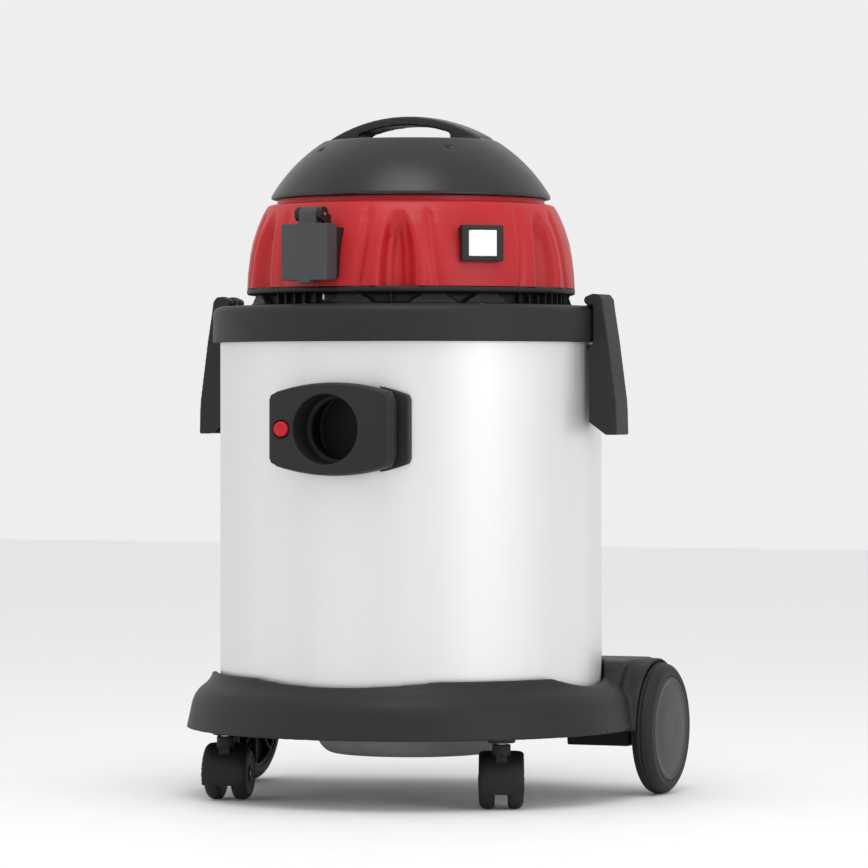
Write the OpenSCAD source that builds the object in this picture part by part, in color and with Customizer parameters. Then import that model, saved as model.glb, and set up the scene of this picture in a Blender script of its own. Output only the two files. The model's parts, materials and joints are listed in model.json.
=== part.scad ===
// Shop vacuum: steel tank on a wheeled base, with a lift-off motor head.
// The origin is on the floor, on the tank's axis. The front is -Y.

/* [Tank] */
// Outer radius of the steel tank
tank_r = 180; // [170:1:184]
// Thickness of the tank's wall
tank_wall = 1.5; // [1.2:0.1:2]
// Height of the tank's bottom above the floor
tank_z = 100; // [98:1:102]
// Height of the tank's top edge
tank_top = 450; // [446:1:451]

/* [Base] */
// Radius of the skirt at its lower edge
skirt_r = 212; // [208:1:214]
// Height of the skirt's lower edge
skirt_z = 65; // [63:1:67]
// Height of the rim over the casters
rim_z = 118; // [115:1:120]
// Radius of the sump pan
pan_r = 88; // [80:1:90]
// Height of the sump pan's underside
pan_z = 41; // [38:1:50]

/* [Wheels] */
// Radius of a rear wheel
wheel_r = 62; // [58:1:62]
// Width of a rear wheel
wheel_w = 22; // [20:1:24]
// Distance from the middle of the object to a rear wheel
wheel_x = 213.5; // [211:0.5:214]
// Distance of the rear axle behind the tank's axis
wheel_y = 104; // [101:1:108]
// Radius of the rear axle
axle_r = 5; // [4:0.5:5]
// Sideways distance of a caster from the middle
caster_x = 137.5; // [132:0.5:139]
// Distance of a caster in front of the tank's axis
caster_y = -120.5; // [-124:0.5:-112]
// Radius of a caster wheel
caster_r = 24.5; // [22:0.5:25]
// Width of one caster wheel
caster_w = 15; // [12:0.5:15]
// Distance of the caster's axle behind its stem
caster_trail = 14; // [10:1:14]

/* [Inlet] */
// Height of the inlet's axis
inlet_z = 347; // [330:1:360]
// Radius of the inlet's bore
inlet_r = 32; // [30:0.5:33]
// Distance of the inlet plate's face from the tank's axis
inlet_face = 199; // [196:1:203]
// Distance of the release button from the inlet's axis
button_x = -47.5; // [-48:0.5:-47]
// Radius of the release button
button_r = 8; // [7.5:0.5:8]

/* [Head] */
// Outer radius of the lid ring
ring_r = 187; // [185:0.5:187]
// Height of the lid ring's lower edge
ring_z = 427; // [425:1:429]
// Height of the lid ring's top
ring_top = 461; // [460:0.5:461]
// Height where the red housing starts
housing_z = 478; // [477:1:479]
// Height of the dome's lip
dome_z = 562; // [561:1:563]
// Height of the dome above its lip
dome_h = 79; // [77:1:80]
// Radius of the dome's lip
dome_r = 132; // [130:0.5:132]
// Width of the strap handle
handle_w = 35; // [30:1:38]
// Length of the gap under the handle
handle_gap = 92; // [86:2:96]
// Angle of the first flute, from the front
flute_angle = 17.3; // [16:0.1:19]
// Angle of the tool socket, from the front
socket_angle = -12.6; // [-13:0.1:-12]
// Height of the tool socket's axis
socket_z = 509; // [508:1:510]
// Angle of the power switch, from the front
switch_angle = 46.5; // [46:0.1:48]
// Height of the power switch
switch_z = 517; // [515:1:519]

/* [Latches] */
// Width of a latch
latch_w = 34; // [30:1:38]
// Height of a latch's lower end
latch_z = 341; // [336:1:346]

/* [Hidden] */
$fn = 96;
// Running clearance of a shaft in its hole, on the radius
run = 0.05;
// A cut runs this far past a face
over = 1;
// The rim dips by these amounts, along arcs of these radii.
rim_front_dip = 6;
rim_front_r = 700;
rim_side_dip = 10;
rim_side_r = 230;
fender_top = 128;
arch_r = 66.5;
arch_in = 63.7;
arch_end = 212;
fender_in = 90;
fender_out = 194;
deck_z = tank_z;
deck_t = 4;
shell = 3.5;
inlet_half_w = 58;
// The bore is this far off the middle of its plate.
inlet_x = -4;
inlet_corner = 5;
inlet_half_h = 42;
// Where the flange ends, and where the inlet plate starts in front of it
flange_face = 177;
inlet_back = 182;
pivot_x = 184;
pivot_z = 466;
pin_r = 1.5;
knuckle_r = 4.5;
latch_slot = 13;
dome_ball = (dome_r * dome_r + (dome_h - 3) * (dome_h - 3)) / (2 * (dome_h - 3));
dome_c = dome_z + dome_h - dome_ball;
recess_z = dome_z + 55.5;
// Angles of the exhaust's scallops, and of the slats between them.
scallops = [0, 30, 50, 120, 140, 200, 220, 290, 310];
slats = [for (a = [0 : 5 : 355])
  if (min([for (b = scallops) abs((a - b + 540) % 360 - 180)]) > 12) a];
scallop_r = 32;
// Depth of the hand recess, and the ball that hollows it
dish_deep = 25.5;
dish_ball = 88;
handle_t = 8.5;
handle_floor = recess_z - dish_deep;
cover_in = 156.4;
cover_out = 173;
cover_w = 51;
cover_h = 52;
cover_low = socket_z - cover_h / 2;
cover_pin_r = 161;
cover_pin_z = socket_z + 35;
eye_r = 7;
socket_r = 21;
socket_floor = 138;
switch_face = 159;
// Radius of a flute, and of the circle that the flutes stand on.
flute_r = 20;
flute_bar_r = 167;
motor_r = 48;
shaft_r = 4;
fan_r = 62;
shroud_r = 72;
filter_r = 85;
filter_low = 300;
float_r = 22;
deflector_y = 128;
stem_r = 4.5;
stem_top = 92;
hood_top = 57;
caster_axle_r = 3;

// Turns what is drawn at the front to an angle, towards +X.
module at_angle(a) {
  rotate([0, 0, a]) children();
}

// A round ring or tube standing on a height.
module ring(outer, inner, low, high) {
  translate([0, 0, low]) difference() {
    cylinder(r = outer, h = high - low);
    translate([0, 0, -over]) cylinder(r = inner, h = high - low + 2 * over);
  }
}

// A cylinder along -Y, from one distance to another.
module radial(r, near, far, z) {
  translate([0, -near, z]) rotate([90, 0, 0]) cylinder(r = r, h = far - near);
}

// A block centred on the front plane, from one distance to another.
module radial_block(w, near, far, low, high) {
  translate([-w / 2, -far, low]) cube([w, far - near, high - low]);
}

// A cylinder along +X.
module across(r, from, to) {
  translate([from, 0, 0]) rotate([0, 90, 0]) cylinder(r = r, h = to - from);
}

// Places a piece at each caster's stem.
module at_caster(side) {
  translate([side * caster_x, caster_y, 0]) children();
}

// ---- base ----

// The outline of the skirt, the rim and the deck in section.
module base_section() {
  polygon([[skirt_r, skirt_z], [209.5, 76], [206.5, 90], [204, 96],
    [200, 101.5], [195, 105.5], [191, 109], [188.5, 113], [187, rim_z],
    [tank_r + 2, rim_z], [tank_r + 2, deck_z],
    [pan_r - 2, deck_z], [pan_r - 2, deck_z - deck_t],
    [188, deck_z - deck_t], [198, 92], [202, 87], [205.5, 76],
    [208, skirt_z]]);
}

// A fender block beside a rear wheel, hugging the tank. It is drawn in
// side view, from the front to the back.
module fender() {
  difference() {
    translate([fender_in, 0, 0]) rotate([90, 0, 90])
      linear_extrude(fender_out - fender_in)
        polygon([[44, deck_z - deck_t], [44, fender_top - 16],
          [49, fender_top - 7], [57, fender_top - 1.5], [66, fender_top],
          [136, fender_top], [143, fender_top - 2.5],
          [148, fender_top - 8], [158, deck_z + 6],
          [160, deck_z - deck_t]]);
    translate([0, 0, deck_z - deck_t - over])
      cylinder(r = tank_r + 2, h = 50);
  }
}

// A lip round the front and the top of a rear wheel.
module wheel_arch() {
  intersection() {
    translate([0, wheel_y, wheel_r]) difference() {
      across(arch_r, fender_out - 4, arch_end);
      across(arch_in, fender_out - 5, arch_end + over);
    }
    translate([fender_out - 10, 0, wheel_r])
      cube([40, wheel_y + 42, 100]);
  }
}

// A bearing block that holds the rear axle under the deck.
module axle_block() {
  translate([124, wheel_y - 16, 45]) cube([64, 32, deck_z - deck_t - 44.5]);
}

// The boss that a caster's stem turns in.
module caster_boss() {
  translate([0, 0, hood_top + 4])
    cylinder(r = 13, h = deck_z - deck_t - hood_top - 3.5);
}

module base_chassis() {
  color("#3a3c3f") difference() {
    union() {
      difference() {
        rotate_extrude() base_section();
        // The rim dips at the front and at both sides.
        translate([0, -230, rim_z - rim_front_dip + rim_front_r])
          rotate([-90, 0, 0]) cylinder(r = rim_front_r, h = 460);
        for (side = [-1, 1])
          translate([side * 195, -8, rim_z - rim_side_dip + rim_side_r])
            rotate([0, 90, 0])
              cylinder(r = rim_side_r, h = 60, center = true);
        // Round arches leave room for the rear wheels.
        for (side = [0, 1]) mirror([side, 0, 0])
          translate([0, wheel_y, wheel_r]) across(arch_in, fender_out, 240);
      }
      for (side = [0, 1]) mirror([side, 0, 0]) {
        fender();
        wheel_arch();
        axle_block();
        // The wall between the skirt and the wheel.
        intersection() {
          translate([190, wheel_y - arch_r, skirt_z])
            cube([4, 2 * arch_r, 46]);
          cylinder(r = skirt_r - 0.1, h = 200);
        }
      }
      for (side = [-1, 1]) at_caster(side) caster_boss();
    }
    translate([0, wheel_y, wheel_r]) across(axle_r, -210, 210);
    for (side = [-1, 1]) at_caster(side)
      translate([0, 0, 40]) cylinder(r = stem_r + run, h = stem_top - 38);
  }
}

module base_screws() {
  color("silver") for (a = [30 : 60 : 330]) rotate([0, 0, a])
    translate([130, 0, deck_z - deck_t - 3]) {
      cylinder(r = 4, h = 3);
      cylinder(r = 1.9, h = 3 + deck_t + 1.4);
    }
}

module sump_pan() {
  color("#8b8f92") rotate_extrude() polygon([[0, pan_z], [pan_r - 8, pan_z],
    [pan_r, pan_z + 9], [pan_r, deck_z - deck_t - 3],
    [pan_r + 12, deck_z - deck_t - 3], [pan_r + 12, deck_z - deck_t],
    [pan_r - 3, deck_z - deck_t], [pan_r - 3, pan_z + 10],
    [pan_r - 9.5, pan_z + 3], [0, pan_z + 3]]);
}

module rear_axle() {
  color("silver") translate([0, wheel_y, wheel_r])
    across(axle_r, -(wheel_x + 6.5), wheel_x + 6.5);
}

module axle_clips() {
  color("silver") for (side = [0, 1]) mirror([side, 0, 0])
    translate([0, wheel_y, wheel_r]) difference() {
      across(8, 194.5, 196.5);
      across(axle_r, 192, 199);
    }
}

// ---- tank ----

module tank() {
  color("#e3e4e5") difference() {
    union() {
      ring(tank_r, tank_r - tank_wall, tank_z, tank_top - 1);
      translate([0, 0, tank_z]) cylinder(r = tank_r, h = tank_wall);
      // The rolled bead on the top edge.
      translate([0, 0, tank_top - 1]) rotate_extrude()
        translate([tank_r - 1, 0]) circle(r = 2, $fn = 32);
    }
    inlet_bore(inlet_r + 3, 100, 220);
  }
}

// A cylinder on the inlet's axis.
module inlet_bore(r, near, far) {
  translate([inlet_x, 0, 0]) radial(r, near, far, inlet_z);
}

module latch_catches() {
  color("#2c2d2f") for (side = [0, 1]) mirror([side, 0, 0])
    translate([tank_r, -9, 419.5]) cube([4.4, 18, 5]);
}

// The outline of the inlet plate: arched top and bottom, rounded corners.
module inlet_outline(half_w, half_h) {
  intersection() {
    square([2 * half_w, 2 * half_h], center = true);
    translate([0, -185 + half_h]) circle(r = 185, $fn = 180);
    translate([0, 185 - half_h]) circle(r = 185, $fn = 180);
    circle(r = half_w + inlet_corner);
  }
}

module inlet_slab(half_w, half_h, near, far) {
  translate([0, -near, inlet_z]) rotate([90, 0, 0])
    linear_extrude(far - near) inlet_outline(half_w, half_h);
}

module inlet_flange() {
  color("#303234") difference() {
    union() {
      inlet_slab(69, 44, 150, flange_face);
      inlet_slab(inlet_half_w - 3, inlet_half_h - 2,
        flange_face - over, inlet_back);
    }
    translate([0, 0, inlet_z - 60])
      cylinder(r = tank_r + 1, h = 120, $fn = 256);
    inlet_bore(inlet_r + 3, 150, 210);
    translate([button_x, 0, 0]) radial(button_r + 1, 150, 210, inlet_z);
  }
}

module inlet_gasket() {
  color("#1c1c1d") difference() {
    inlet_bore(inlet_r + 9, 160, tank_r + 3);
    translate([0, 0, inlet_z - 60]) cylinder(r = tank_r, h = 120);
    inlet_gasket_cut();
    inlet_bore(inlet_r + 3, 150, 210);
  }
}

// What lies outside the gasket's own thin layer.
module inlet_gasket_cut() {
  translate([0, 0, inlet_z - 60]) difference() {
    cylinder(r = tank_r + 40, h = 120);
    translate([0, 0, -over]) cylinder(r = tank_r + 0.8, h = 122);
  }
}

module inlet_plate() {
  color("#3a3c3e") difference() {
    union() {
      inlet_slab(inlet_half_w + 2, inlet_half_h + 0.5,
        inlet_back, inlet_face - 9);
      inlet_slab(inlet_half_w + 1, inlet_half_h, inlet_face - 10,
        inlet_face - 4);
      inlet_slab(inlet_half_w, inlet_half_h - 1, inlet_face - 4.5,
        inlet_face);
      inlet_bore(inlet_r + 3, 156, inlet_face - 10);
    }
    inlet_bore(inlet_r, 165, 230);
    inlet_bore(inlet_r - 4, 140, 170);
    translate([button_x, 0, 0])
      radial(button_r + run, inlet_face - 9, 230, inlet_z);
  }
}

// A cup behind the inlet, open below, that turns the dirt downwards.
module inlet_deflector() {
  color("#2c2d2f") difference() {
    inlet_bore(inlet_r + 5, deflector_y, 155.9);
    inlet_bore(inlet_r + 2, deflector_y + 3, 170);
    translate([-50, -153, inlet_z - 60])
      cube([100, 153 - deflector_y - 3, 42]);
  }
}

module inlet_screws() {
  // They go in from inside the tank, so that they don't show.
  color("silver") for (x = [-1, 1], z = [-1, 1])
    translate([x * 48, 0, z * 22]) {
      radial(2, 169, inlet_face - 11, inlet_z);
      radial(4, 167, 169.5, inlet_z);
    }
}

module inlet_button() {
  color("#b01820") translate([button_x, 0, 0]) {
    radial(button_r, inlet_face - 6, inlet_face + 1.5, inlet_z);
    radial(button_r - 2, inlet_face + 1.5, inlet_face + 2.5, inlet_z);
  }
}

// ---- lid ring, head plate and latches ----

module lid_ring() {
  color("#3b3d40") difference() {
    union() {
      rotate_extrude() polygon([[ring_r - 5.5, ring_z], [ring_r, ring_z],
        [ring_r, ring_top - 6], [ring_r - 2, ring_top - 2],
        [ring_r - 6, ring_top], [158, ring_top + 1], [158, ring_top - 4],
        [ring_r - 6, ring_top - 5], [ring_r - 5, ring_top - 7]]);
      // The lugs that the latches hang from.
      for (side = [0, 1]) mirror([side, 0, 0])
        translate([pivot_x - 4, -latch_slot / 2 + 0.5, ring_top - 2])
          cube([8, latch_slot - 1, pivot_z - ring_top + 5.5]);
    }
    for (side = [0, 1]) mirror([side, 0, 0])
      translate([pivot_x, latch_w, pivot_z]) rotate([90, 0, 0])
        cylinder(r = pin_r, h = 2 * latch_w, $fn = 32);
  }
}

module ring_screws() {
  color("silver") for (a = [15 : 60 : 315]) rotate([0, 0, a])
    translate([163, 0, ring_top - 5]) {
      cylinder(r = 1.6, h = 5.8, $fn = 32);
      translate([0, 0, -2.4]) cylinder(r = 3.2, h = 2.4, $fn = 32);
    }
}

module head_plate() {
  color("#2b2c2e") difference() {
    union() {
      ring(158, 60, ring_top - 4, ring_top + 1);
      // The recessed wall behind the exhaust slats.
      ring(142, 138, ring_top + 1, 472);
      ring(155, 138, 472, housing_z);
      // The scallops under the lip.
      for (a = scallops) at_angle(a) intersection() {
        radial(scallop_r, 139, 150, 472 - scallop_r);
        radial_block(60, 138, 151, ring_top + 1, 472.5);
      }
    }
    // Air leaves through slots in the recessed wall.
    for (a = [115 : 10 : 290]) at_angle(a)
      translate([-4, -146, ring_top + 2.5]) cube([8, 12, 7]);
  }
}

module head_seal() {
  color("#161617") ring(tank_r + 0.5, 174, tank_top + 1.3, ring_top - 5);
}

module exhaust_grille() {
  color("#242526") for (a = slats) at_angle(a)
    translate([-0.8, -147.5, ring_top + 1]) cube([1.6, 5.5, 10]);
}

module latch_pins() {
  color("silver") for (side = [0, 1]) mirror([side, 0, 0])
    translate([pivot_x, latch_w / 2 - 2.5, pivot_z]) rotate([90, 0, 0])
      cylinder(r = pin_r, h = latch_w - 5, $fn = 32);
}

// The side view of a latch's outer plate, without its cheeks.
module latch_plate_outline() {
  polygon([[pivot_x, pivot_z + knuckle_r], [188, pivot_z + 6],
    [194, pivot_z + 5.5], [197.5, pivot_z + 1], [199, 456], [203.5, 428],
    [211, 371], [212, latch_z], [208, latch_z], [207.5, 371],
    [200, 428], [195.5, 456], [194, 463], [191.5, 467],
    [pivot_x, pivot_z + 1.2]]);
}

// The side view of a latch's cheek.
module latch_cheek_outline() {
  polygon([[pivot_x, pivot_z + knuckle_r - 0.2], [188, pivot_z + 5.8],
    [194, pivot_z + 5.3], [197.3, pivot_z + 1], [198.8, 456],
    [203.3, 428], [210.8, 371], [211.8, latch_z], [201, latch_z],
    [184.5, 353], [184, 422], [188.5, 426.4], [188.5, 461.6],
    [pivot_x, 461.6]]);
}

module latch_side_view(w) {
  translate([0, w / 2, 0]) rotate([90, 0, 0])
    linear_extrude(w) children();
}

module latch() {
  difference() {
    union() {
      latch_side_view(latch_w) latch_plate_outline();
      for (y = [-1, 1]) translate([0, y * (latch_w / 2 - 2), 0])
        latch_side_view(4) latch_cheek_outline();
      for (y = [-1, 1]) translate([pivot_x, 0, pivot_z]) rotate([90, 0, 0])
        translate([0, 0, y > 0 ? latch_slot / 2 : -latch_w / 2])
          cylinder(r = knuckle_r - 0.2, h = (latch_w - latch_slot) / 2);
      // The tooth that catches under the tank's catch.
      translate([tank_r + 5, -8, 413]) cube([18, 16, 5.5]);
    }
    translate([pivot_x, latch_w / 2 - 2, pivot_z]) rotate([90, 0, 0])
      cylinder(r = pin_r + run, h = latch_w - 4, $fn = 32);
    // A slot for the lug on the ring.
    translate([pivot_x - 8, -latch_slot / 2, 455])
      cube([15, latch_slot, 20]);
  }
}

module latch_right() {
  color("#38393c") latch();
}

module latch_left() {
  color("#38393c") mirror([1, 0, 0]) latch();
}

// ---- red housing and dome ----

// The outline of the red housing's side, offset inwards.
module housing_section() {
  polygon([[154.7, housing_z], [154, 492], [152, 508.7], [149.5, 521.6],
    [145, 535.7], [137.5, 553], [135, 556], [126, 560], [126, dome_z],
    [122, dome_z], [122, 556], [132, 552], [140.8, 535.7], [145.3, 521.6],
    [147.8, 508.7], [149.8, 492], [150.5, housing_z]]);
}

module housing_solid() {
  rotate_extrude() polygon([[0, housing_z], [154.6, housing_z], [153.9, 492],
    [151.9, 508.7], [149.4, 521.6], [144.9, 535.7], [137.4, 553],
    [130, 556], [0, 556]]);
}

// A leaning round bar that cuts one flute.
module flute_bar(r) {
  translate([0, -flute_bar_r, housing_z - 6]) rotate([-7, 0, 0])
    cylinder(r = r, h = 84);
}

module motor_housing() {
  color("#b8232c") difference() {
    union() {
      rotate_extrude() housing_section();
      intersection() {
        housing_solid();
        for (k = [0 : 5]) at_angle(flute_angle + 60 * k) flute_bar(flute_r + 4);
      }
      // Pads behind the socket and the switch.
      intersection() {
        housing_solid();
        union() {
          at_angle(socket_angle) radial_block(62, 120, 160, 478, 538);
          at_angle(switch_angle) radial_block(54, 125, 160, 490, 542);
        }
      }
    }
    for (k = [0 : 5]) at_angle(flute_angle + 60 * k) flute_bar(flute_r);
    at_angle(socket_angle)
      radial_block(50, 100, 170, socket_z - 23, socket_z + 23);
    at_angle(switch_angle)
      radial_block(38, 100, 170, switch_z - 14.5, switch_z + 14.5);
    at_angle(180) radial(9, 120, 170, 500);
  }
}

module housing_screws() {
  color("silver") for (a = [-20 : 60 : 280]) at_angle(a + 7.3)
    translate([0, -140.5, 466]) cylinder(r = 2, h = 11.9, $fn = 32);
}

// The full dome, before it is hollowed.
module dome_solid(inset) {
  difference() {
    translate([0, 0, dome_c]) sphere(r = dome_ball - inset, $fn = 180);
    translate([-200, -200, dome_z - 400]) cube([400, 400, 400 + 3]);
  }
}

module dome_cap() {
  color("#2f3033") difference() {
    union() {
      difference() {
        union() {
          dome_solid(0);
          translate([0, 0, dome_z]) cylinder(r = dome_r, h = 3.01);
        }
        // The top is cut off level with the hand recess.
        translate([-100, -100, recess_z]) cube([200, 200, 60]);
        // A dish under the handle leaves room for fingers.
        translate([0, 0, handle_floor + dish_ball])
          sphere(r = dish_ball, $fn = 180);
      }
      // The strap handle follows the dome.
      intersection() {
        difference() {
          dome_solid(0);
          translate([0, 0, dome_c]) intersection() {
            sphere(r = dome_ball - handle_t, $fn = 180);
            translate([-handle_gap / 2, -60, 0]) cube([handle_gap, 120, 200]);
          }
        }
        translate([-76, -handle_w / 2, recess_z - 20])
          cube([152, handle_w, 80]);
      }
    }
    // Inside: a hollow under the recess and the shoulders.
    intersection() {
      translate([0, 0, dome_c]) sphere(r = dome_ball - shell, $fn = 180);
      translate([-200, -200, dome_z - 1]) cube([400, 400, handle_floor - dome_z - 3]);
    }
  }
}

module cable_gland() {
  color("#1f2021") at_angle(180) difference() {
    union() {
      radial(8.9, 140, 155, 500);
      radial(13, 154.8, 158.5, 500);
      radial(9.5, 158, 170, 500);
    }
    radial(4, 130, 180, 500);
  }
}

// ---- tool socket and switch ----

module socket_body() {
  color("#232426") at_angle(socket_angle) difference() {
    union() {
      radial_block(49.4, 128, 156, socket_z - 22.7, socket_z + 22.7);
      // Ears with eyes for the cover's hinge pin.
      for (x = [-1, 1]) translate([x * 12.5, 0, 0]) {
        radial_block(4.6, 150, cover_pin_r, socket_z + 21.5, cover_pin_z);
        translate([-2.3, -cover_pin_r, cover_pin_z]) across(eye_r, 0, 4.6);
      }
    }
    radial(socket_r, socket_floor, 156.1, socket_z);
    for (x = [-9.5, 9.5]) translate([x, 0, 0])
      radial(3.2, 120, 140, socket_z);
    translate([0, -cover_pin_r, cover_pin_z])
      across(pin_r, -20, 20);
  }
}

// Contact sleeves, sunk in the floor of the socket's well.
module socket_contacts() {
  color("#c9a24a") at_angle(socket_angle) for (x = [-9.5, 9.5])
    translate([x, 0, 0]) difference() {
      radial(3.1, 122, socket_floor - 1, socket_z);
      radial(2.4, 126, socket_floor, socket_z);
    }
}

module socket_hinge_pin() {
  color("silver") at_angle(socket_angle)
    translate([0, -cover_pin_r, cover_pin_z]) across(pin_r, -15.5, 15.5);
}

module socket_cover() {
  color("#55585a") at_angle(socket_angle) difference() {
    union() {
      radial_block(cover_w, cover_in, cover_out, cover_low,
        cover_low + cover_h);
      translate([0, -cover_pin_r, cover_pin_z]) across(eye_r, -9.8, 9.8);
      radial_block(19.6, cover_pin_r, 168, socket_z + 20, cover_pin_z + 2);
      // A lip to lift the cover by.
      translate([0, -cover_out + 6, cover_low])
        cylinder(r = 8, h = 5, center = true);
    }
    // The ears of the socket reach into the cover's top.
    for (x = [-1, 1]) translate([x * 12.5, 0, 0])
      radial_block(5.4, 150, 167, socket_z + 17, 560);
    radial_block(18.8, 150, cover_pin_r - 0.5, socket_z + 25, socket_z + 27);
    radial_block(44, 150, cover_out - 4, socket_z - 21.5, socket_z + 16);
    translate([0, -cover_pin_r, cover_pin_z])
      across(pin_r + run, -20, 20);
  }
}

module switch_bezel() {
  color("#1b1b1d") at_angle(switch_angle) difference() {
    union() {
      radial_block(42, 153.5, switch_face, switch_z - 16.5, switch_z + 16.5);
      radial_block(37.4, 134, 154, switch_z - 14.2, switch_z + 14.2);
    }
    radial_block(28.8, 138, 170, switch_z - 12.4, switch_z + 12.4);
    translate([0, -155.5, switch_z - 15]) cylinder(r = 1.25, h = 30, $fn = 32);
  }
}

module switch_pin() {
  color("silver") at_angle(switch_angle)
    translate([0, -155.5, switch_z - 15]) cylinder(r = 1.25, h = 30, $fn = 32);
}

module switch_rocker() {
  color("#f4f4f2") at_angle(switch_angle)
    translate([0, -155.5, switch_z]) rotate([0, 0, -7]) difference() {
      intersection() {
        cylinder(r = 14.1, h = 24, center = true);
        translate([0, 1, 0]) cube([30, 11, 24], center = true);
      }
      cylinder(r = 1.25 + run, h = 30, center = true, $fn = 32);
    }
}

// ---- motor and fans ----

module motor_mount() {
  color("#1d1d1e") ring(shroud_r + 4, 58, ring_top + 1, 468);
}

module fan_shroud() {
  color("#9a9da0") difference() {
    ring(shroud_r, 22, 468, 512);
    ring(shroud_r - 2, 0, 470, 510);
    for (a = [0 : 30 : 330]) rotate([0, 0, a])
      translate([60, -6, 490]) cube([20, 12, 14]);
  }
}

module turbine_fan() {
  color("#c7c9cb") union() {
    ring(fan_r, 20, 474, 475.5);
    ring(fan_r, 8, 496, 497.5);
    ring(10, shaft_r, 488, 497.5);
    for (a = [0 : 30 : 330]) rotate([0, 0, a]) translate([22, -0.8, 475.4])
      rotate([0, 0, 12]) cube([38, 1.6, 20.7]);
  }
}

module motor_stator() {
  color("#7b4a2a") union() {
    ring(motor_r, 31, 520, 562);
    ring(motor_r, 9, 512, 516);
    ring(motor_r, 9, 566, 570);
    for (a = [0 : 90 : 270]) rotate([0, 0, a])
      translate([36, -5, 515]) cube([8, 10, 52]);
  }
}

module motor_bearings() {
  color("silver") {
    ring(9, shaft_r + run, 510.5, 516);
    ring(9, shaft_r + run, 566, 571);
  }
}

module motor_armature() {
  color("#6d5138") union() {
    translate([0, 0, 474]) cylinder(r = shaft_r, h = 109);
    translate([0, 0, 524]) cylinder(r = 29.6, h = 34);
    translate([0, 0, 558]) cylinder(r = 14, h = 6);
  }
}

module cooling_fan() {
  color("#2d2d2f") union() {
    ring(12, shaft_r, 573, 581);
    for (a = [0 : 45 : 315]) rotate([0, 0, a]) translate([10, -4, 575.5])
      rotate([30, 0, 0]) cube([32, 8, 1.5]);
  }
}

module sound_foam() {
  color("#4a4a4a") ring(112, 98, housing_z, 548);
}

module terminal_block() {
  color("#e9e6da") at_angle(140) difference() {
    radial_block(34, 79, 95, ring_top + 1, 484);
    for (x = [-12 : 8 : 12]) translate([x, -87, 474])
      cylinder(r = 2.5, h = 12, $fn = 32);
  }
}

// ---- float and filter ----

module float_cage() {
  color("#d8d8d2") union() {
    ring(66, 18, 453, 457);
    translate([0, 0, 388]) cylinder(r = 33, h = 3);
    for (a = [0 : 60 : 300]) rotate([0, 0, a])
      translate([30, 0, 390]) cylinder(r = 2.5, h = 64, $fn = 32);
  }
}

module float_ball() {
  color("#e8e2c8") rotate_extrude() polygon([[0, 392], [float_r - 3, 392],
    [float_r, 395], [float_r, 420], [float_r - 4, 425], [0, 427]]);
}

// A pleated ring in plan.
module pleats(outer, inner, count) {
  polygon([for (k = [0 : 2 * count - 1])
    let (r = k % 2 == 0 ? outer : inner, a = 180 * k / count)
    [r * cos(a), r * sin(a)]]);
}

module filter_media() {
  color("#efece0") translate([0, 0, filter_low + 6])
    linear_extrude(444 - filter_low - 6) difference() {
      pleats(filter_r, filter_r - 9, 48);
      pleats(filter_r - 1.6, filter_r - 10.6, 48);
    }
}

module filter_frame() {
  color("#2a2a2c") union() {
    ring(filter_r + 2, 69, 444, 457);
    translate([0, 0, filter_low]) cylinder(r = filter_r + 2, h = 6);
    for (a = [0 : 45 : 315]) rotate([0, 0, a])
      translate([69, -3, filter_low + 5]) cube([3, 6, 140]);
    for (z = [340, 390]) ring(72, 70, z, z + 4);
  }
}

// ---- rear wheels ----

// Turns a shape round +Z into one round the rear axle, on one side.
module at_wheel(side) {
  translate([0, wheel_y, wheel_r]) mirror([side < 0 ? 1 : 0, 0, 0])
    translate([wheel_x - wheel_w / 2, 0, 0]) rotate([0, 90, 0]) children();
}

module tyre() {
  rotate_extrude() polygon([[wheel_r - 12, 0], [wheel_r - 6.5, 1],
    [wheel_r - 2.5, 3.6], [wheel_r, 8], [wheel_r, wheel_w - 8],
    [wheel_r - 2.5, wheel_w - 3.6], [wheel_r - 6.5, wheel_w - 1],
    [wheel_r - 12, wheel_w]]);
}

module hub() {
  difference() {
    union() {
      ring(wheel_r - 12, wheel_r - 16, 2, wheel_w - 4.5);
      ring(wheel_r - 15, 8, 10, 13);
      cylinder(r = 12, h = wheel_w - 6);
      for (a = [0 : 45 : 315]) rotate([0, 0, a])
        translate([10, -1.5, 3]) cube([wheel_r - 24, 3, 8]);
    }
    translate([0, 0, -over]) cylinder(r = axle_r + run, h = wheel_w);
  }
}

module hub_cap() {
  rotate_extrude() polygon([[0, wheel_w - 4], [wheel_r - 13, wheel_w - 4],
    [wheel_r - 12.5, wheel_w - 2.5], [wheel_r - 13, wheel_w - 1],
    [40, wheel_w + 0.6], [25, wheel_w + 1.6], [0, wheel_w + 2]]);
}

module wheel_tyre_left() {
  color("#2b2c2e") at_wheel(-1) tyre();
}

module wheel_tyre_right() {
  color("#2b2c2e") at_wheel(1) tyre();
}

module wheel_hub_left() {
  color("#333436") at_wheel(-1) hub();
}

module wheel_hub_right() {
  color("#333436") at_wheel(1) hub();
}

module hub_caps_left() {
  color("#505356") at_wheel(-1) hub_cap();
}

module hub_caps_right() {
  color("#505356") at_wheel(1) hub_cap();
}

// ---- casters ----

// The angle that each caster is turned to at rest.
function caster_turn(side) = side < 0 ? 10 : 22;

// Draws a caster's piece at its stem, turned to its angle at rest.
module in_caster(side) {
  at_caster(side) rotate([0, 0, caster_turn(side)]) children();
}

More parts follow.
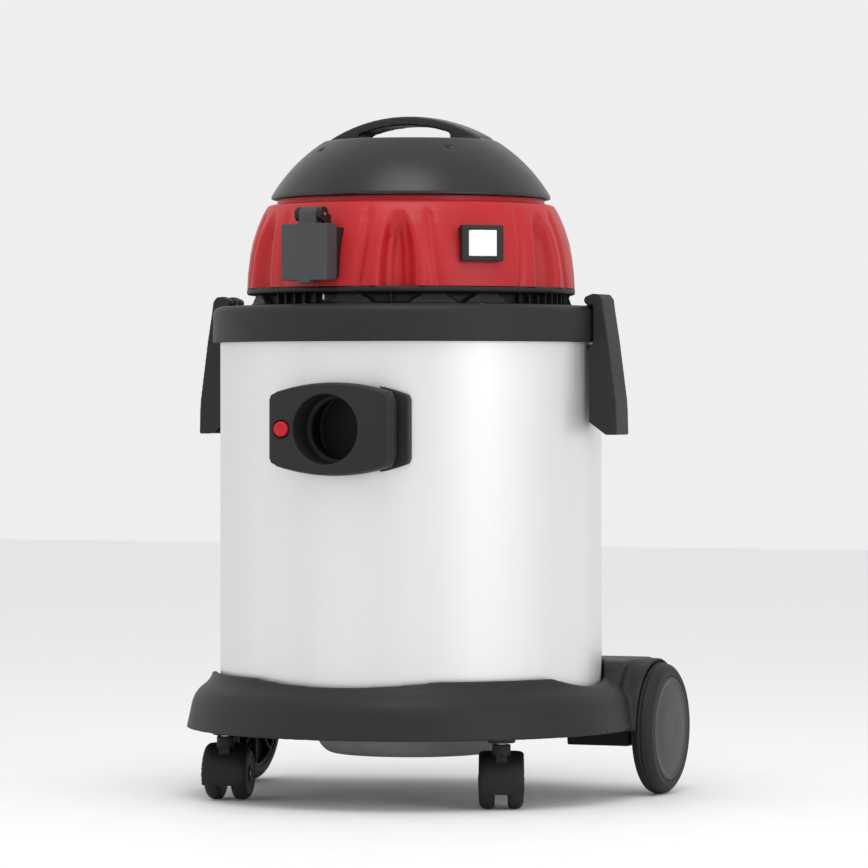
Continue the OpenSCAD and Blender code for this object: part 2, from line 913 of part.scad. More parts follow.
module caster_fork() {
  difference() {
    union() {
      translate([0, 0, 50]) cylinder(r = 8.5, h = 10);
      // The web between the two wheels.
      translate([0, caster_trail, caster_r]) across(9, -5, 5);
      translate([-5, -7, caster_r - 4]) cube([10, 21, 30]);
      // The hood over the wheels.
      translate([0, caster_trail, caster_r]) difference() {
        rotate([0, 90, 0]) rotate_extrude() polygon([[0, -21],
          [caster_r + 1.4, -21], [caster_r + 3.4, -18.5],
          [caster_r + 4, -14], [caster_r + 4, 14],
          [caster_r + 3.4, 18.5], [caster_r + 1.4, 21], [0, 21]]);
        across(caster_r + 1, -22, 22);
        translate([-30, -40, -50]) cube([60, 80, 40]);
        translate([-30, 8, -40]) cube([60, 60, 90]);
      }
      translate([-5, -2, caster_r + 18]) cube([10, 22, 9]);
    }
    translate([0, 0, 40]) cylinder(r = stem_r, h = 60);
    translate([0, caster_trail, caster_r]) across(caster_axle_r, -30, 30);
  }
}

module caster_pins() {
  translate([0, 0, 50]) cylinder(r = stem_r, h = stem_top - 50);
  translate([0, caster_trail, caster_r]) across(caster_axle_r, -20, 20);
}

module caster_wheel(side) {
  mirror([side < 0 ? 1 : 0, 0, 0]) translate([6, caster_trail, caster_r])
    rotate([0, 90, 0]) difference() {
      rotate_extrude() polygon([[0, 0], [caster_r - 2, 0], [caster_r, 2],
        [caster_r, caster_w - 5], [caster_r - 1.5, caster_w - 1.5],
        [caster_r - 5, caster_w], [0, caster_w]]);
      translate([0, 0, -over])
        cylinder(r = caster_axle_r + run, h = caster_w + 0.2);
    }
}

module caster_fork_left() {
  color("#2e2f31") in_caster(-1) caster_fork();
}

module caster_fork_right() {
  color("#2e2f31") in_caster(1) caster_fork();
}

module caster_pins_left() {
  color("silver") in_caster(-1) caster_pins();
}

module caster_pins_right() {
  color("silver") in_caster(1) caster_pins();
}

module caster_wheel_left_a() {
  color("#232325") in_caster(-1) caster_wheel(-1);
}

module caster_wheel_left_b() {
  color("#232325") in_caster(-1) caster_wheel(1);
}

module caster_wheel_right_a() {
  color("#232325") in_caster(1) caster_wheel(-1);
}

module caster_wheel_right_b() {
  color("#232325") in_caster(1) caster_wheel(1);
}

base_chassis();
base_screws();
sump_pan();
rear_axle();
axle_clips();
tank();
latch_catches();
inlet_flange();
inlet_plate();
inlet_gasket();
inlet_deflector();
inlet_screws();
inlet_button();
lid_ring();
ring_screws();
head_plate();
head_seal();
exhaust_grille();
latch_pins();
latch_left();
latch_right();
motor_housing();
housing_screws();
dome_cap();
cable_gland();
socket_body();
socket_contacts();
socket_hinge_pin();
socket_cover();
switch_bezel();
switch_rocker();
switch_pin();
motor_stator();
motor_bearings();
motor_armature();
turbine_fan();
cooling_fan();
fan_shroud();
motor_mount();
sound_foam();
terminal_block();
float_cage();
float_ball();
filter_frame();
filter_media();
wheel_tyre_left();
wheel_hub_left();
wheel_tyre_right();
wheel_hub_right();
hub_caps_left();
hub_caps_right();
caster_fork_left();
caster_fork_right();
caster_pins_left();
caster_pins_right();
caster_wheel_left_a();
caster_wheel_left_b();
caster_wheel_right_a();
caster_wheel_right_b();
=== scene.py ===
# %% [markdown]
# # A shop vacuum, dressed in Blender
# The measured model of the vacuum comes in as a fixed frame. This script gives every
# piece its finish, and rebuilds the moulded covers and wheels with softer, truer shapes.
# Sizes and places are read from the frame, so nothing has to be fitted afterwards.

# %% Load the frame
import json
import math
import bpy
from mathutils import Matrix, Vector


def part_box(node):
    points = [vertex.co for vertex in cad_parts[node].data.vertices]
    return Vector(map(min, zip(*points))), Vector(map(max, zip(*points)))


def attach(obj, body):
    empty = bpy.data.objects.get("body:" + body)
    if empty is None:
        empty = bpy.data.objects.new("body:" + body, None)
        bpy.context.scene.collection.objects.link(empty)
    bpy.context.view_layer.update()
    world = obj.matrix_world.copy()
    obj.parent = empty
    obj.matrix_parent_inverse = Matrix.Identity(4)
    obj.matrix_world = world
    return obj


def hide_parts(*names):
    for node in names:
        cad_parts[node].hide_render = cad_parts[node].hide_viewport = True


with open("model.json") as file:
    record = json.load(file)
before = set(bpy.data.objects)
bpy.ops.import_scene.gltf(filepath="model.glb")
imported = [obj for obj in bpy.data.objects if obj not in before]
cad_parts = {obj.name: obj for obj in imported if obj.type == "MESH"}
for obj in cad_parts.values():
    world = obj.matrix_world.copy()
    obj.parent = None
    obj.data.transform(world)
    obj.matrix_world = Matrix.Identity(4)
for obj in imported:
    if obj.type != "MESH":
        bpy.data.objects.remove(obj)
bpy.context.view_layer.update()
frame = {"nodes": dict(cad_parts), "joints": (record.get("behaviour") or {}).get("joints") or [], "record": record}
nodes = frame["nodes"]
MM = 0.001

# %% [markdown]
# The camera stands well back with a long lens, as a product photographer would, so the
# tank's sides stay upright. Its eye height is a little above the middle of the tank. The
# lens is worked out from the distance, so both can be changed together.

# %% Camera
IMAGE = 868
CAMERA_TURN = math.radians(22)
CAMERA_FAR = 4.5
EYE_HEIGHT = 0.378
IMAGE_SCALE = 1058
SENSOR = 36.0

camera_data = bpy.data.cameras.new("studio_camera")
camera = bpy.data.objects.new("studio_camera", camera_data)
bpy.context.scene.collection.objects.link(camera)
bpy.context.scene.camera = camera
camera_data.sensor_width = SENSOR
camera_data.lens = IMAGE_SCALE * CAMERA_FAR * SENSOR / IMAGE
camera_data.shift_x = 23 / IMAGE
camera_data.shift_y = -39 / IMAGE
camera_data.clip_end = 50
camera.location = (
    CAMERA_FAR * math.sin(CAMERA_TURN), -CAMERA_FAR * math.cos(CAMERA_TURN), EYE_HEIGHT)
camera.rotation_euler = (math.radians(90), 0, CAMERA_TURN)
print("camera:", round(camera_data.lens, 1), "mm lens")

# %% [markdown]
# The light is a white tent: a bright surround, a large soft panel above, and a panel on
# each side. The panels' edges give the dome and the plastic their soft highlights. The
# panels are kept weak, because dark plastic shows every light that it can see.

# %% Light
def light_panel(name, place, target, size, power):
    """A square soft light at a place, facing a target."""
    data = bpy.data.lights.new(name, "AREA")
    data.shape = "SQUARE"
    data.size = size
    data.energy = power
    panel = bpy.data.objects.new(name, data)
    panel.location = place
    panel.rotation_euler = (Vector(target) - Vector(place)).to_track_quat("-Z", "Y").to_euler()
    bpy.context.scene.collection.objects.link(panel)
    return panel


light_panel("top_panel", (0.3, -1.0, 2.3), (0, 0, 0.45), 1.1, 16)
light_panel("left_panel", (-2.2, -1.4, 1.1), (0, 0, 0.35), 1.2, 3)
light_panel("right_panel", (2.4, -1.2, 1.0), (0, 0, 0.35), 1.2, 11)

world = bpy.data.worlds.new("white_tent")
bpy.context.scene.world = world
world.use_nodes = True
tent = world.node_tree.nodes["Background"]
tent.inputs["Color"].default_value = (1, 1, 1, 1)
tent.inputs["Strength"].default_value = 0.86
bpy.context.scene.view_settings.view_transform = "Standard"

# %% [markdown]
# Every finish here starts the same way: a shader, the piece's own coordinates in metres,
# and one or two noise patterns at the size of the real grain. The helpers make that
# start, so that each finish below says only what is special about it.

# %% Material helpers
def new_finish(name, colour, rough, metallic=0.0):
    """A material with one shader, and the tools to add patterns to it."""
    material = bpy.data.materials.new(name)
    material.use_nodes = True
    tree = material.node_tree
    shader = tree.nodes["Principled BSDF"]
    shader.inputs["Base Color"].default_value = (*colour, 1)
    shader.inputs["Roughness"].default_value = rough
    shader.inputs["Metallic"].default_value = metallic
    return material, tree, shader


def pattern(tree, scale, detail=3.0, stretch=(1, 1, 1)):
    """A noise pattern on the piece's own coordinates, scale in features per metre."""
    place = tree.nodes.new("ShaderNodeTexCoord")
    mapping = tree.nodes.new("ShaderNodeMapping")
    mapping.inputs["Scale"].default_value = stretch
    noise = tree.nodes.new("ShaderNodeTexNoise")
    noise.inputs["Scale"].default_value = scale
    noise.inputs["Detail"].default_value = detail
    tree.links.new(place.outputs["Object"], mapping.inputs["Vector"])
    tree.links.new(mapping.outputs["Vector"], noise.inputs["Vector"])
    return noise.outputs["Fac"]


def spread(tree, value, low, high):
    """Maps a pattern's middle range onto low to high."""
    ramp = tree.nodes.new("ShaderNodeMapRange")
    ramp.inputs["From Min"].default_value = 0.3
    ramp.inputs["From Max"].default_value = 0.7
    ramp.inputs["To Min"].default_value = low
    ramp.inputs["To Max"].default_value = high
    tree.links.new(value, ramp.inputs["Value"])
    return ramp.outputs["Result"]


def tint(tree, value, dark, light):
    """Turns a pattern into a colour between two close shades."""
    ramp = tree.nodes.new("ShaderNodeValToRGB")
    ramp.color_ramp.elements[0].position = 0.3
    ramp.color_ramp.elements[0].color = (*dark, 1)
    ramp.color_ramp.elements[1].position = 0.7
    ramp.color_ramp.elements[1].color = (*light, 1)
    tree.links.new(value, ramp.inputs["Fac"])
    return ramp.outputs["Color"]


def relief(tree, shader, value, depth):
    """Raises the surface with a pattern, depth in metres."""
    bump = tree.nodes.new("ShaderNodeBump")
    bump.inputs["Strength"].default_value = 1.0
    bump.inputs["Distance"].default_value = depth
    tree.links.new(value, bump.inputs["Height"])
    tree.links.new(bump.outputs["Normal"], shader.inputs["Normal"])


def shade(colour, factor):
    return tuple(min(1.0, c * factor) for c in colour)


def moulded(name, colour, rough, grain=1400, depth=0.00006, vary=0.12, gloss=0.3):
    """Moulded plastic: a fine spark-eroded grain, with slight shifts in colour and gloss."""
    material, tree, shader = new_finish(name, colour, rough)
    slow = pattern(tree, 18, 4)
    fine = pattern(tree, grain, 2)
    colours = tint(tree, slow, shade(colour, 1 - vary), shade(colour, 1 + vary))
    tree.links.new(colours, shader.inputs["Base Color"])
    tree.links.new(spread(tree, slow, rough - 0.04, rough + 0.05), shader.inputs["Roughness"])
    relief(tree, shader, fine, depth)
    shader.inputs["Specular IOR Level"].default_value = gloss
    return material


print("helpers ready")

# %% [markdown]
# The plastics differ in colour, in gloss and in how coarse their grain is. The dome is
# the smoothest, the base and wheels are coarser, and the red housing has a light sheen.

# %% Plastic finishes
BLACK = moulded("black_moulding", (0.014, 0.0144, 0.0155), 0.52)
DOME = moulded("dome_moulding", (0.011, 0.0113, 0.012), 0.36, grain=2200, depth=0.00003,
               gloss=0.42)
DARK = moulded("dark_moulding", (0.010, 0.010, 0.011), 0.42)
WHEEL = moulded("wheel_moulding", (0.008, 0.008, 0.0085), 0.55)
HUB = moulded("hub_moulding", (0.034, 0.036, 0.038), 0.46, grain=1800)
# The sump's grey is painted shade: the tank's steel bottom, in the shadow under the base, is given a flat darker
# grey.
SUMP_SHADE_GREY = moulded("sump_painted_shade", (0.26, 0.27, 0.28), 0.55)
COVER = moulded("cover_moulding", (0.050, 0.054, 0.058), 0.52)
RED = moulded("red_moulding", (0.44, 0.010, 0.014), 0.42, grain=1900, depth=0.00003,
              vary=0.05, gloss=0.35)
BUTTON = moulded("button_moulding", (0.42, 0.008, 0.014), 0.34, depth=0.00002)
WHITE = moulded("rocker_moulding", (0.86, 0.86, 0.85), 0.28, depth=0.00001, vary=0.02)
CREAM = moulded("cream_moulding", (0.72, 0.69, 0.58), 0.5, vary=0.05)
print("plastics:", len(bpy.data.materials))

# %% [markdown]
# The tank is a rolled steel sheet. Its brush lines run up and down, so the noise is
# stretched along Z. The lines change the roughness and raise the surface a hair, and a
# slow second pattern gives the soft clouds that large sheets show.

# %% Metal, rubber and inner finishes
def brushed(name, colour, rough, stretch, lines=900, depth=0.00002, metallic=1.0):
    """Metal with long brush lines along the axis with the smallest stretch."""
    material, tree, shader = new_finish(name, colour, rough, metallic)
    line = pattern(tree, lines, 2, stretch)
    cloud = pattern(tree, 9, 3, stretch)
    colours = tint(tree, cloud, shade(colour, 0.93), shade(colour, 1.04))
    tree.links.new(colours, shader.inputs["Base Color"])
    tree.links.new(spread(tree, line, rough - 0.08, rough + 0.08), shader.inputs["Roughness"])
    relief(tree, shader, line, depth)
    return material


STEEL_SHEET = brushed("tank_steel", (0.77, 0.775, 0.78), 0.46, (1, 1, 0.02), 700, 0.000012,
                      metallic=0.7)
STEEL = brushed("turned_steel", (0.62, 0.62, 0.63), 0.32, (1, 1, 1), 400)
ALLOY = brushed("pressed_alloy", (0.72, 0.72, 0.74), 0.38, (1, 1, 0.2), 300)
BRASS = brushed("brass", (0.78, 0.56, 0.24), 0.3, (1, 1, 0.2), 500)
IRON = brushed("varnished_iron", (0.22, 0.13, 0.08), 0.5, (0.1, 0.1, 1), 1600, 0.00004,
               metallic=0.5)
RUBBER = moulded("seal_rubber", (0.010, 0.010, 0.010), 0.7, grain=900)
TYRE = moulded("tyre_rubber", (0.014, 0.014, 0.015), 0.62, grain=700, depth=0.0001)
FOAM = moulded("sound_foam", (0.09, 0.09, 0.09), 0.95, grain=500, depth=0.0008)
PAPER = moulded("filter_paper", (0.80, 0.78, 0.70), 0.9, grain=800, depth=0.0001)
print("finishes:", len(bpy.data.materials))

# %% [markdown]
# Each node takes the finish of its slot in the record, so no piece is left plain.

# %% Finish every node
FINISH_OF = {
    "black_plastic": BLACK, "dome_plastic": DOME, "dark_plastic": DARK,
    "wheel_plastic": WHEEL, "hub_plastic": HUB, "grey_plastic": SUMP_SHADE_GREY,
    "cover_plastic": COVER, "red_plastic": RED, "red_button": BUTTON,
    "white_plastic": WHITE, "cream_plastic": CREAM, "tank_steel": STEEL_SHEET,
    "steel": STEEL, "brass": BRASS, "iron": IRON, "fan_metal": ALLOY,
    "seal_rubber": RUBBER, "tyre": TYRE, "foam": FOAM, "filter_paper": PAPER,
}
SLOT_OF = {part["node"]: part["material_slot"] for part in frame["record"]["subparts"]}
BODY_OF = {node: body for body, members in frame["record"]["behaviour"]["bodies"].items()
           for node in members}


def dress(piece, material):
    """Gives a piece one material."""
    piece.data.materials.clear()
    piece.data.materials.append(material)


for name, piece in nodes.items():
    dress(piece, FINISH_OF[SLOT_OF[name]])
print("dressed:", len(nodes), "nodes")

# %% [markdown]
# A few helpers do the modelling. One spins an outline into a round piece, as on a lathe.
# One cuts a piece with others. One copies a measured node, and one softens it: the copy
# is rebuilt from small even cells and relaxed, which rounds every edge as a mould does.

# %% Modelling helpers
def pick(piece):
    """Selects one piece alone."""
    bpy.ops.object.select_all(action="DESELECT")
    piece.select_set(True)
    bpy.context.view_layer.objects.active = piece


def settle(piece, flat_above=35):
    """Applies a piece's place and modifiers, and smooths its shading."""
    pick(piece)
    bpy.ops.object.transform_apply(location=True, rotation=True, scale=True)
    for modifier in list(piece.modifiers):
        bpy.ops.object.modifier_apply(modifier=modifier.name)
    bpy.ops.object.shade_smooth_by_angle(angle=math.radians(flat_above))
    return piece


def eased(corners, radius, steps=4):
    """Rounds the corners of a closed outline."""
    soft = []
    for k, corner in enumerate(corners):
        here = Vector(corner)
        back = Vector(corners[k - 1]) - here
        ahead = Vector(corners[(k + 1) % len(corners)]) - here
        reach = min(radius, back.length * 0.45, ahead.length * 0.45)
        start = here + back.normalized() * reach
        end = here + ahead.normalized() * reach
        for s in range(steps + 1):
            t = s / steps
            soft.append((1 - t) ** 2 * start + 2 * t * (1 - t) * here + t * t * end)
    return [(p.x, p.y) for p in soft]


def turned(name, outline, steps=128):
    """A round piece about Z, spun from a closed outline of (radius, height) in mm."""
    bpy.ops.object.select_all(action="DESELECT")
    bpy.ops.mesh.primitive_plane_add(size=0.001)
    piece = bpy.context.object
    piece.name = name
    bpy.ops.object.mode_set(mode="EDIT")
    bpy.ops.mesh.merge(type="CENTER")
    place = Vector((outline[0][0] * MM, 0, outline[0][1] * MM))
    bpy.ops.transform.translate(value=place)
    for radius, height in list(outline[1:]) + [outline[0]]:
        there = Vector((radius * MM, 0, height * MM))
        bpy.ops.mesh.extrude_region_move(TRANSFORM_OT_translate={"value": there - place})
        place = there
    bpy.ops.mesh.select_all(action="SELECT")
    bpy.ops.mesh.remove_doubles(threshold=1e-6)
    bpy.ops.mesh.select_all(action="SELECT")
    bpy.ops.mesh.spin(steps=steps, angle=math.tau, center=(0, 0, 0), axis=(0, 0, 1))
    bpy.ops.mesh.select_all(action="SELECT")
    bpy.ops.mesh.remove_doubles(threshold=2e-6)
    bpy.ops.mesh.normals_make_consistent(inside=False)
    bpy.ops.object.mode_set(mode="OBJECT")
    return piece


def move_points(piece, rule):
    """Moves every point of a piece, as a sculptor would, by a rule on its place."""
    for point in piece.data.vertices:
        point.co = rule(point.co)
    piece.data.update()


def block(name, size, place=(0, 0, 0), ease=0.0):
    """A block in mm, with its edges bevelled, about a middle place."""
    bpy.ops.object.select_all(action="DESELECT")
    bpy.ops.mesh.primitive_cube_add(size=1, location=Vector(place) * MM)
    piece = bpy.context.object
    piece.name = name
    piece.scale = Vector(size) * MM
    bpy.ops.object.transform_apply(location=True, rotation=True, scale=True)
    if ease:
        bpy.ops.object.mode_set(mode="EDIT")
        bpy.ops.mesh.select_all(action="SELECT")
        bpy.ops.mesh.bevel(offset=ease * MM, segments=3, affect="EDGES")
        bpy.ops.object.mode_set(mode="OBJECT")
    return piece


def swing(piece, degrees, axis="Z"):
    """Turns a piece about an axis through the origin."""
    pick(piece)
    turn = [0.0, 0.0, 0.0]
    turn["XYZ".index(axis)] = math.radians(degrees)
    piece.rotation_euler = turn
    bpy.ops.object.transform_apply(location=True, rotation=True, scale=True)
    return piece


def shift(piece, place):
    """Moves a piece by a place in mm."""
    pick(piece)
    piece.location = Vector(place) * MM
    bpy.ops.object.transform_apply(location=True, rotation=True, scale=True)
    return piece


def twin(piece, name):
    """A copy of a piece with its own mesh."""
    copy = piece.copy()
    copy.data = piece.data.copy()
    copy.name = name
    bpy.context.scene.collection.objects.link(copy)
    return copy


def combine(piece, others, action="DIFFERENCE"):
    """Cuts or joins a piece with others, which are used up."""
    for other in others:
        mix = piece.modifiers.new("mix", "BOOLEAN")
        mix.operation = action
        mix.solver = "EXACT"
        mix.object = other
        pick(piece)
        bpy.ops.object.modifier_apply(modifier=mix.name)
        bpy.data.objects.remove(other, do_unlink=True)
    return piece


def from_frame(name, node):
    """A copy of a measured node, for shaping."""
    piece = twin(nodes[node], name)
    piece.parent = None
    piece.hide_render = False
    pick(piece)
    bpy.ops.object.mode_set(mode="EDIT")
    bpy.ops.mesh.select_all(action="SELECT")
    bpy.ops.mesh.remove_doubles(threshold=1e-6)
    bpy.ops.object.mode_set(mode="OBJECT")
    return piece


def soften(piece, cell, passes=4):
    """Rebuilds a piece from even cells in mm and relaxes it, to round its edges."""
    remesh = piece.modifiers.new("cells", "REMESH")
    remesh.mode = "VOXEL"
    remesh.voxel_size = cell * MM
    relax = piece.modifiers.new("relax", "SMOOTH")
    relax.factor = 0.5
    relax.iterations = passes
    settle(piece, 180)
    return piece


def fit(piece, node, *replaced):
    """Gives a piece the finish of a node's slot and the node's body, and stands it in for nodes."""
    dress(piece, FINISH_OF[SLOT_OF[node]])
    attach(piece, BODY_OF[node])
    if replaced:
        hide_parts(*replaced)
    return piece


print("modelling helpers ready")

# %% [markdown]
# The tank is one rolled sheet with a curled top edge. Lathe work suits it: the outline is
# spun with many steps, so that long reflections stay straight, and the inlet's hole is
# then cut. A narrow lap seam runs up the back, where such tanks are welded.

# %% Tank
tank_low, tank_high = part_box("tank")
TANK_R, TANK_WALL = 180.0, 1.5
foot, top = tank_low.z / MM, tank_high.z / MM
tank = turned("tank_shell", eased(
    [(0, foot), (TANK_R, foot), (TANK_R, top - 5), (TANK_R + 1.2, top - 4),
     (TANK_R + 1.2, top), (TANK_R - 3, top), (TANK_R - 3, top - 5),
     (TANK_R - TANK_WALL, top - 6), (TANK_R - TANK_WALL, foot + TANK_WALL),
     (0, foot + TANK_WALL)], 2.0), steps=256)
button_low, button_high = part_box("inlet_button")
plate_low, plate_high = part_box("inlet_plate")
INLET_Z = (plate_low.z + plate_high.z) / 2 / MM
INLET_X, BORE_R, BORE_DEEP = -4, 35, 60
bore_cut = turned("bore_cut", [(0, 0), (BORE_R, 0), (BORE_R, BORE_DEEP), (0, BORE_DEEP)],
                  steps=96)
shift(swing(bore_cut, 90, "X"), (INLET_X, -150, INLET_Z))
combine(tank, [bore_cut])
seam = block("seam", (9, 0.8, 330), (0, TANK_R - 0.1, 275), ease=0.25)
combine(tank, [seam], "UNION")
settle(tank)
fit(tank, "tank", "tank")
print("tank:", len(tank.data.polygons), "faces")

# %% [markdown]
# The base is one large moulding. The measured shape is right, but its edges are knife
# sharp. Rebuilding it from small even cells and relaxing them gives the soft edges that
# come out of a mould. The sump pan below it is spun, with a rolled lower corner.

# %% Base and sump pan
base = soften(from_frame("base_moulding", "base_chassis"), 2.05, 5)
fit(base, "base_chassis", "base_chassis")
pan_low, pan_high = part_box("sump_pan")
pan_floor, pan_top = pan_low.z / MM, pan_high.z / MM
PAN_R = pan_high.x / MM
pan = turned("sump_bowl", eased(
    [(0, pan_floor), (PAN_R - 22, pan_floor), (PAN_R - 12, pan_floor + 10),
     (PAN_R - 11, pan_top - 4), (PAN_R, pan_top - 3.2), (PAN_R, pan_top - 0.2),
     (PAN_R - 15, pan_top - 0.2), (PAN_R - 15, pan_floor + 12),
     (PAN_R - 24, pan_floor + 3), (0, pan_floor + 3)], 6.0), steps=160)
for k in range(3):
    rib = block("rib", (3, 2 * (PAN_R - 30), 2), (0, 0, pan_floor + 3.4), ease=0.6)
    combine(pan, [swing(rib, 60 * k)], "UNION")
settle(pan)
# The pan takes the painted shade grey, a darker grey that stands for steel in the base's shadow.
fit(pan, "sump_pan", "sump_pan")
print("base:", len(base.data.polygons), "faces")

# %% [markdown]
# The red housing is a barrel with flutes. Each flute is an arch: wide at the foot, closing
# and fading out below the dome, with a deeper groove down its middle. The barrel is spun with
# many points, and a rule then moves each point in, as a sculptor's thumb would. The
# windows for the socket and the switch are cut last, so that their edges stay crisp.

# %% Red housing
FLUTE_TURN = 17.3
FLUTE_SPACING = 60
SOCKET_TURN, SWITCH_TURN = -12.6, 46.5
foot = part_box("motor_housing")[0].z / MM
SIDE = [(154.7, 0), (154.0, 14), (152.0, 30.7), (149.5, 43.6), (145.0, 57.7),
        (140.0, 69.5), (136.6, 75.5)]
WALL = 4.0


def barrel_radius(height):
    """The barrel's radius at a height above its foot."""
    for (r0, z0), (r1, z1) in zip(SIDE, SIDE[1:]):
        if height <= z1:
            return r0 + (r1 - r0) * (height - z0) / (z1 - z0)
    return SIDE[-1][0]


def smooth(value):
    value = max(0.0, min(1.0, value))
    return value * value * (3 - 2 * value)


def hollow(across, height):
    """How deep the flutes press in, at a distance across a flute's middle."""
    arch = max(0.0, 1 - (height / 73.0) ** 2)
    broad = 19.5 * arch ** 0.55
    narrow = 10.5 * max(0.0, 1 - (height / 66.0) ** 2) ** 0.8
    depth = 0.0
    if broad > 0.5:
        depth += 11.0 * smooth((broad - abs(across)) / (0.5 * broad)) * smooth((74 - height) / 34)
    if narrow > 0.5:
        depth += 5.0 * smooth((narrow - abs(across)) / (0.85 * narrow)) * smooth((66 - height) / 30)
    # The soft slanted valley on each side of a flute.
    valley = 38.0 - 12.0 * height / 78.0
    depth += 2.6 * math.exp(-((abs(across) - valley) / 3.8) ** 2) * smooth((76 - height) / 14)
    # The rounded rib that borders the arch.
    rim = broad + 3.2
    depth -= 1.1 * math.exp(-((abs(across) - rim) / 2.4) ** 2) * smooth((70 - height) / 20)
    return depth


ROWS = 44
outer = [(barrel_radius(75.5 * k / ROWS), foot + 75.5 * k / ROWS) for k in range(ROWS + 1)]
top_edge = [(135.2, foot + 77.6), (132.5, foot + 78.6), (126.5, foot + 79.5),
            (126, foot + 84), (122, foot + 84), (122, foot + 77), (131, foot + 73)]
inner = [(barrel_radius(h) - WALL, foot + h) for h in (66, 57.7, 43.6, 30.7, 14, 0)]
housing = turned("red_housing", outer + top_edge + inner, steps=480)


def flute_rule(place):
    """Presses the flutes into the barrel's outer and inner walls alike."""
    radius = math.hypot(place.x, place.y) / MM
    height = place.z / MM - foot
    turn = math.degrees(math.atan2(place.x, -place.y))
    nearest = (turn - FLUTE_TURN + FLUTE_SPACING / 2) % FLUTE_SPACING - FLUTE_SPACING / 2
    across = math.radians(nearest) * radius
    depth = hollow(across, height)
    for middle, half in ((SOCKET_TURN, 11.0), (SWITCH_TURN, 9.5)):
        away = abs((turn - middle + 180) % 360 - 180)
        depth *= smooth((away - half) / 3.0) if depth > 0 else 1.0
    factor = (radius - depth) / radius
    return Vector((place.x * factor, place.y * factor, place.z))


move_points(housing, flute_rule)
SOCKET_Z = (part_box("socket_body")[0].z / MM + 22.7)
SWITCH_Z = sum(corner.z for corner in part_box("switch_bezel")) / 2 / MM
windows = [
    swing(block("window", (50, 60, 46), (0, -150, SOCKET_Z), ease=2), SOCKET_TURN),
    swing(block("window", (38, 50, 29), (0, -150, SWITCH_Z), ease=1), SWITCH_TURN),
]
gland_cut = shift(swing(turned("gland_cut", [(0, 0), (9, 0), (9, 40), (0, 40)], 64), -90, "X"),
                  (0, 130, 500))
combine(housing, windows + [gland_cut])
settle(housing, 40)
fit(housing, "motor_housing", "motor_housing")
print("housing:", len(housing.data.polygons), "faces")

# %% [markdown]
# The dome is a shallow ball with a strap handle over a hollow for the fingers. Before it
# is softened, a round groove is cut above its foot, which leaves the rolled lip, and four
# small slots are cut round the top, where the handle's halves clip together.

# %% Dome and handle
dome = from_frame("dome_cover", "dome_cap")
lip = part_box("dome_cap")[0].z / MM
neck = turned("neck", [(134.6 + 4.4 * math.cos(a * math.tau / 24),
                        lip + 11.0 + 5.5 * math.sin(a * math.tau / 24))
                       for a in range(24)], steps=160)
slots = []
for turn in (-40, 44, 140, -136):
    slot_cut = block("slot_cut", (9, 9, 4.4), (0, -97, lip + 45.5), ease=1)
    slots.append(swing(slot_cut, turn))
combine(dome, [neck] + slots)
soften(dome, 1.45, 5)
fit(dome, "dome_cap", "dome_cap")
print("dome:", len(dome.data.polygons), "faces")

# %% [markdown]
# The collar ring, the exhaust plate and the two latches are black mouldings too. Each is
# softened from its measured shape, with cells small enough to keep its ribs and teeth.

# %% Collar, exhaust plate and latches
for node, cell in (("lid_ring", 1.4), ("head_plate", 1.3), ("latch_left", 0.8),
                   ("latch_right", 0.8), ("latch_catches", 0.6)):
    piece = soften(from_frame(node + "_moulding", node), cell, 4)
    fit(piece, node, node)
print("black mouldings softened")

# %% [markdown]
# The inlet is a block with a round bore, on a flange that hugs the tank. Its button has a
# knurled rim, which a rule presses into a spun disc before the disc is turned to the
# front.

# %% Inlet and its button
for node, cell in (("inlet_plate", 0.8), ("inlet_flange", 0.9), ("inlet_deflector", 1.0)):
    piece = soften(from_frame(node + "_moulding", node), cell, 3)
    fit(piece, node, node)
BUTTON_SLACK = 0.7  # keeps the pressed button clear of its plate
BUTTON_R = (button_high.x - button_low.x) / 2 / MM - BUTTON_SLACK
DEEP = (button_high.y - button_low.y) / MM
knob = turned("release_button", eased(
    [(0, BUTTON_SLACK), (BUTTON_R, BUTTON_SLACK), (BUTTON_R, DEEP - 1.6), (BUTTON_R - 1.4, DEEP),
     (BUTTON_R - 3.2, DEEP), (BUTTON_R - 3.6, DEEP - 0.7), (0, DEEP - 0.5)], 0.6), steps=160)


def knurl(place):
    """Scallops the button's rim."""
    radius = math.hypot(place.x, place.y)
    if radius < (BUTTON_R - 2.6) * MM or place.z < 2 * MM:
        return place
    wave = 0.45 * MM * (1 + math.cos(20 * math.atan2(place.y, place.x))) / 2
    return Vector((place.x * (1 - wave / radius), place.y * (1 - wave / radius), place.z))


move_points(knob, knurl)
swing(knob, 90, "X")
shift(knob, ((button_low.x + button_high.x) / 2 / MM, button_high.y / MM,
             (button_low.z + button_high.z) / 2 / MM))
settle(knob)
fit(knob, "inlet_button", "inlet_button")
print("inlet done")

# %% [markdown]
# The socket, its cover, the switch's bezel and its rocker are small mouldings, softened
# with fine cells.

# %% Socket and switch
for node, cell in (("socket_body", 0.7), ("socket_cover", 0.7), ("switch_bezel", 0.55),
                   ("switch_rocker", 0.45), ("cable_gland", 0.6)):
    piece = soften(from_frame(node + "_moulding", node), cell, 3)
    fit(piece, node, node)
print("socket and switch done")

# %% [markdown]
# Each rear wheel is a spun tyre on a ribbed hub, with a dished cap on the outside. They
# are spun flat on the floor, turned up on edge, and the left wheel's pieces are made the
# same way with the turn reversed.

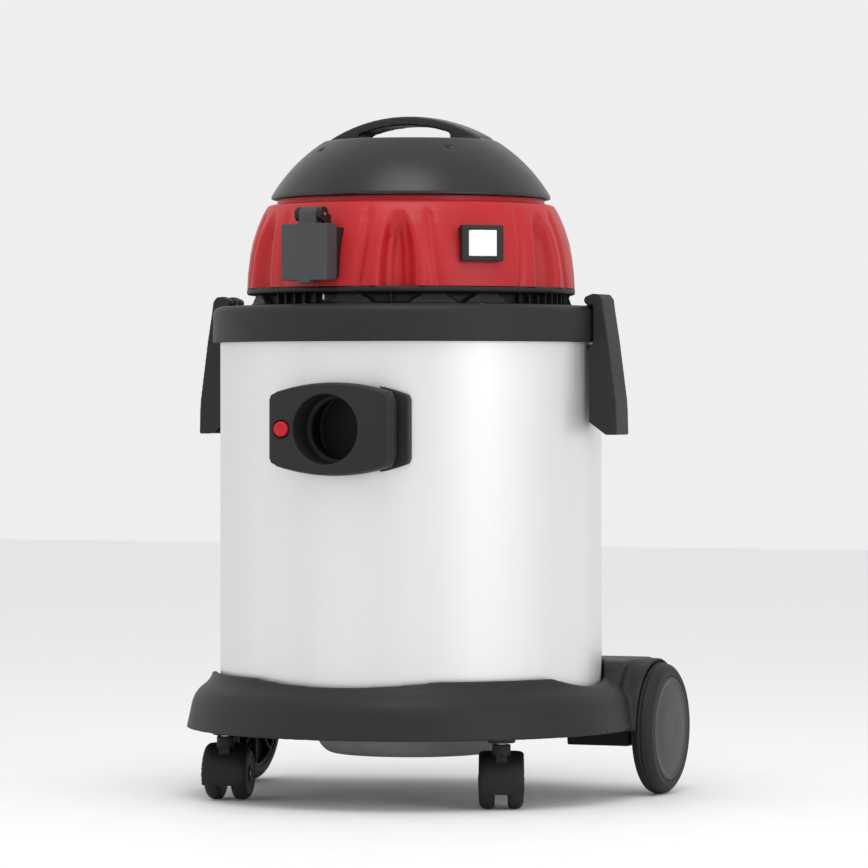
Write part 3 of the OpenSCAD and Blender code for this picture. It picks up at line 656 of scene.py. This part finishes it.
# %% Rear wheels
for side, hand in ((-1, "left"), (1, "right")):
    low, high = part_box("wheel_tyre_" + hand)
    wide = (high.x - low.x) / MM
    big = (high.z - low.z) / 2 / MM
    inside = min(abs(low.x), abs(high.x)) / MM
    tyre = turned("tyre_" + hand, eased(
        [(big - 13, 0.4), (big - 7, 0.4), (big - 1.6, 4), (big, 9), (big, wide / 2 - 1.2),
         (big - 1.2, wide / 2), (big, wide / 2 + 1.2), (big, wide - 9),
         (big - 1.6, wide - 4), (big - 7, wide - 0.4), (big - 9, wide - 0.8),
         (big - 13, wide - 0.4)], 4.0), steps=160)
    cap = turned("hub_cover_" + hand, eased(
        [(0, wide - 5), (big - 13, wide - 5), (big - 12.8, wide - 1.2),
         (big - 15, wide + 0.2), (big - 18, wide - 0.9), (big - 21, wide - 0.9),
         (26, wide + 0.9), (0, wide + 1.8)], 1.6),
        steps=160)
    hub = soften(from_frame("hub_moulding_" + hand, "wheel_hub_" + hand), 0.9, 3)
    for piece in (tyre, cap):
        swing(piece, 90 * side, "Y")
        shift(piece, (side * inside, (low.y + high.y) / 2 / MM, big))
        settle(piece)
    fit(tyre, "wheel_tyre_" + hand, "wheel_tyre_" + hand)
    fit(cap, "hub_caps_" + hand, "hub_caps_" + hand)
    fit(hub, "wheel_hub_" + hand, "wheel_hub_" + hand)
print("rear wheels done")

# %% [markdown]
# A caster is a hood between two small wheels. The hood is softened from its measured
# shape. The wheels have a full round shoulder and a raised boss, so they are spun anew,
# and each is stood up at its own place and angle, which the joints give.

# %% Casters
for hand in ("left", "right"):
    node = "caster_fork_" + hand
    fit(soften(from_frame("caster_hood_" + hand, node), 0.7, 4), node, node)
joints = {joint["name"]: joint for joint in frame["joints"]}
CASTER_R, CASTER_W, CASTER_GAP = 24.5, 15.0, 6.0
for hand in ("left", "right"):
    for mark, side in (("a", -1), ("b", 1)):
        node = "caster_wheel_%s_%s" % (hand, mark)
        joint = joints[node + "_spin"]
        axis = Vector(joint["axis"])
        middle = Vector(joint["pos_m"]) / MM
        wheel = turned("small_wheel_%s_%s" % (hand, mark), eased(
            [(3.1, 0), (CASTER_R - 2, 0), (CASTER_R, 2.5), (CASTER_R, CASTER_W - 6),
             (CASTER_R - 2, CASTER_W - 2), (CASTER_R - 6, CASTER_W - 0.3),
             (CASTER_R - 9, CASTER_W - 1.4), (8, CASTER_W - 1.4), (6.5, CASTER_W),
             (3.1, CASTER_W)], 1.8), steps=96)
        shift(wheel, (0, 0, CASTER_GAP))
        swing(wheel, 90 * side, "Y")
        swing(wheel, math.degrees(math.atan2(axis.y, axis.x)))
        shift(wheel, middle)
        settle(wheel)
        fit(wheel, node, node)
print("casters done")

# %% [markdown]
# The floor is one large pale sheet with a faint mottle, so that the wheels have a
# surface to stand on and to leave a soft shadow on.

# %% Floor
FLOOR = moulded("pale_floor", (0.90, 0.90, 0.90), 0.6, grain=60, depth=0.0, vary=0.01)
bpy.ops.object.select_all(action="DESELECT")
bpy.ops.mesh.primitive_plane_add(size=14, location=(0, 0, 0))
floor = bpy.context.object
floor.name = "studio_floor"
dress(floor, FLOOR)
print("floor laid")
